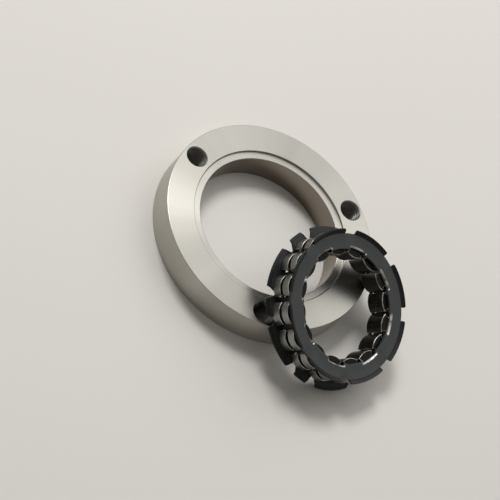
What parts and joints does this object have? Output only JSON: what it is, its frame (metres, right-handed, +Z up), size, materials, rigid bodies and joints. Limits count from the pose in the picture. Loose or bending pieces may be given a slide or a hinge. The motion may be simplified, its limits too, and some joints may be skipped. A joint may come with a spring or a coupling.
{
  "type": "sprag clutch",
  "caption": "One-way clutch kit: flat outer race with tapped holes and a caged sprag unit leaning on its rim; the sprags lock turning one way and slip the other.",
  "frame": {"origin": "on the outer race's axis, in the plane of its lower face", "axes": "+Z up along the race's axis, out of the face with the shallow seat; +X from the race's axis towards the leaning sprag unit"},
  "size_m": [0.1117, 0.086, 0.0351],
  "materials": {
    "ground_steel": "satin, fine turned",
    "black_oxide_cage": "black oxide, matt",
    "phosphated_plate": "manganese phosphate, matt dark grey",
    "hardened_sprag": "hardened and tumbled, dark with bright edges",
    "spring_wire": "oiled spring wire"
  },
  "bodies": {
    "outer_race": {"outer_race": "ground_steel"},
    "outer_cage": {"outer_cage": "black_oxide_cage", "rear_flange": "black_oxide_cage", "garter_spring": "spring_wire"},
    "inner_cage": {"inner_cage": "black_oxide_cage", "front_plate": "phosphated_plate"},
    "sprag_01": {"sprag_01": "hardened_sprag"},
    "sprag_02": {"sprag_02": "hardened_sprag"},
    "sprag_03": {"sprag_03": "hardened_sprag"},
    "sprag_04": {"sprag_04": "hardened_sprag"},
    "sprag_05": {"sprag_05": "hardened_sprag"},
    "sprag_06": {"sprag_06": "hardened_sprag"},
    "sprag_07": {"sprag_07": "hardened_sprag"},
    "sprag_08": {"sprag_08": "hardened_sprag"},
    "sprag_09": {"sprag_09": "hardened_sprag"},
    "sprag_10": {"sprag_10": "hardened_sprag"},
    "sprag_11": {"sprag_11": "hardened_sprag"},
    "sprag_12": {"sprag_12": "hardened_sprag"},
    "sprag_13": {"sprag_13": "hardened_sprag"},
    "sprag_14": {"sprag_14": "hardened_sprag"},
    "sprag_15": {"sprag_15": "hardened_sprag"},
    "sprag_16": {"sprag_16": "hardened_sprag"}
  },
  "joints": [
    {"name": "lift_off", "type": "slide", "parent": "outer_race", "child": "outer_cage", "axis": [0, 0, 1], "range_m": [0, 0.06]},
    {"name": "cage_turn", "type": "hinge", "parent": "outer_cage", "child": "inner_cage", "pos_m": [0.042, 0, 0.02275], "axis": [0.4003, 0, 0.9164], "range_deg": [0, 0.973], "stiffness_Nm_per_rad": 0.5, "springref_deg": -1.15},
    {"name": "sprag_01_roll", "type": "hinge", "parent": "outer_cage", "child": "sprag_01", "pos_m": [0.06257, 0.00229, 0.00765], "axis": [0.4003, 0, 0.9164], "range_deg": [-9, 0]},
    {"name": "sprag_02_roll", "type": "hinge", "parent": "outer_cage", "child": "sprag_02", "pos_m": [0.06003, 0.01164, 0.00876], "axis": [0.4003, 0, 0.9164], "range_deg": [-9, 0]},
    {"name": "sprag_03_roll", "type": "hinge", "parent": "outer_cage", "child": "sprag_03", "pos_m": [0.05441, 0.01922, 0.01122], "axis": [0.4003, 0, 0.9164], "range_deg": [-9, 0]},
    {"name": "sprag_04_roll", "type": "hinge", "parent": "outer_cage", "child": "sprag_04", "pos_m": [0.04655, 0.02388, 0.01465], "axis": [0.4003, 0, 0.9164], "range_deg": [-9, 0]},
    {"name": "sprag_05_roll", "type": "hinge", "parent": "outer_cage", "child": "sprag_05", "pos_m": [0.03766, 0.0249, 0.01853], "axis": [0.4003, 0, 0.9164], "range_deg": [-9, 0]},
    {"name": "sprag_06_roll", "type": "hinge", "parent": "outer_cage", "child": "sprag_06", "pos_m": [0.02909, 0.02212, 0.02228], "axis": [0.4003, 0, 0.9164], "range_deg": [-9, 0]},
    {"name": "sprag_07_roll", "type": "hinge", "parent": "outer_cage", "child": "sprag_07", "pos_m": [0.02215, 0.01599, 0.02531], "axis": [0.4003, 0, 0.9164], "range_deg": [-9, 0]},
    {"name": "sprag_08_roll", "type": "hinge", "parent": "outer_cage", "child": "sprag_08", "pos_m": [0.01788, 0.00741, 0.02717], "axis": [0.4003, 0, 0.9164], "range_deg": [-9, 0]},
    {"name": "sprag_09_roll", "type": "hinge", "parent": "outer_cage", "child": "sprag_09", "pos_m": [0.01695, -0.00229, 0.02758], "axis": [0.4003, 0, 0.9164], "range_deg": [-9, 0]},
    {"name": "sprag_10_roll", "type": "hinge", "parent": "outer_cage", "child": "sprag_10", "pos_m": [0.01948, -0.01164, 0.02647], "axis": [0.4003, 0, 0.9164], "range_deg": [-9, 0]},
    {"name": "sprag_11_roll", "type": "hinge", "parent": "outer_cage", "child": "sprag_11", "pos_m": [0.02511, -0.01922, 0.02402], "axis": [0.4003, 0, 0.9164], "range_deg": [-9, 0]},
    {"name": "sprag_12_roll", "type": "hinge", "parent": "outer_cage", "child": "sprag_12", "pos_m": [0.03297, -0.02388, 0.02058], "axis": [0.4003, 0, 0.9164], "range_deg": [-9, 0]},
    {"name": "sprag_13_roll", "type": "hinge", "parent": "outer_cage", "child": "sprag_13", "pos_m": [0.04185, -0.0249, 0.0167], "axis": [0.4003, 0, 0.9164], "range_deg": [-9, 0]},
    {"name": "sprag_14_roll", "type": "hinge", "parent": "outer_cage", "child": "sprag_14", "pos_m": [0.05042, -0.02212, 0.01295], "axis": [0.4003, 0, 0.9164], "range_deg": [-9, 0]},
    {"name": "sprag_15_roll", "type": "hinge", "parent": "outer_cage", "child": "sprag_15", "pos_m": [0.05737, -0.01599, 0.00992], "axis": [0.4003, 0, 0.9164], "range_deg": [-9, 0]},
    {"name": "sprag_16_roll", "type": "hinge", "parent": "outer_cage", "child": "sprag_16", "pos_m": [0.06164, -0.00741, 0.00806], "axis": [0.4003, 0, 0.9164], "range_deg": [-9, 0]}
  ],
  "couplings": [
    {"joint": "sprag_01_roll", "follows": "cage_turn", "ratio": -9.2041},
    {"joint": "sprag_02_roll", "follows": "cage_turn", "ratio": -9.2041},
    {"joint": "sprag_03_roll", "follows": "cage_turn", "ratio": -9.2041},
    {"joint": "sprag_04_roll", "follows": "cage_turn", "ratio": -9.2041},
    {"joint": "sprag_05_roll", "follows": "cage_turn", "ratio": -9.2041},
    {"joint": "sprag_06_roll", "follows": "cage_turn", "ratio": -9.2041},
    {"joint": "sprag_07_roll", "follows": "cage_turn", "ratio": -9.2041},
    {"joint": "sprag_08_roll", "follows": "cage_turn", "ratio": -9.2041},
    {"joint": "sprag_09_roll", "follows": "cage_turn", "ratio": -9.2041},
    {"joint": "sprag_10_roll", "follows": "cage_turn", "ratio": -9.2041},
    {"joint": "sprag_11_roll", "follows": "cage_turn", "ratio": -9.2041},
    {"joint": "sprag_12_roll", "follows": "cage_turn", "ratio": -9.2041},
    {"joint": "sprag_13_roll", "follows": "cage_turn", "ratio": -9.2041},
    {"joint": "sprag_14_roll", "follows": "cage_turn", "ratio": -9.2041},
    {"joint": "sprag_15_roll", "follows": "cage_turn", "ratio": -9.2041},
    {"joint": "sprag_16_roll", "follows": "cage_turn", "ratio": -9.2041}
  ]
}
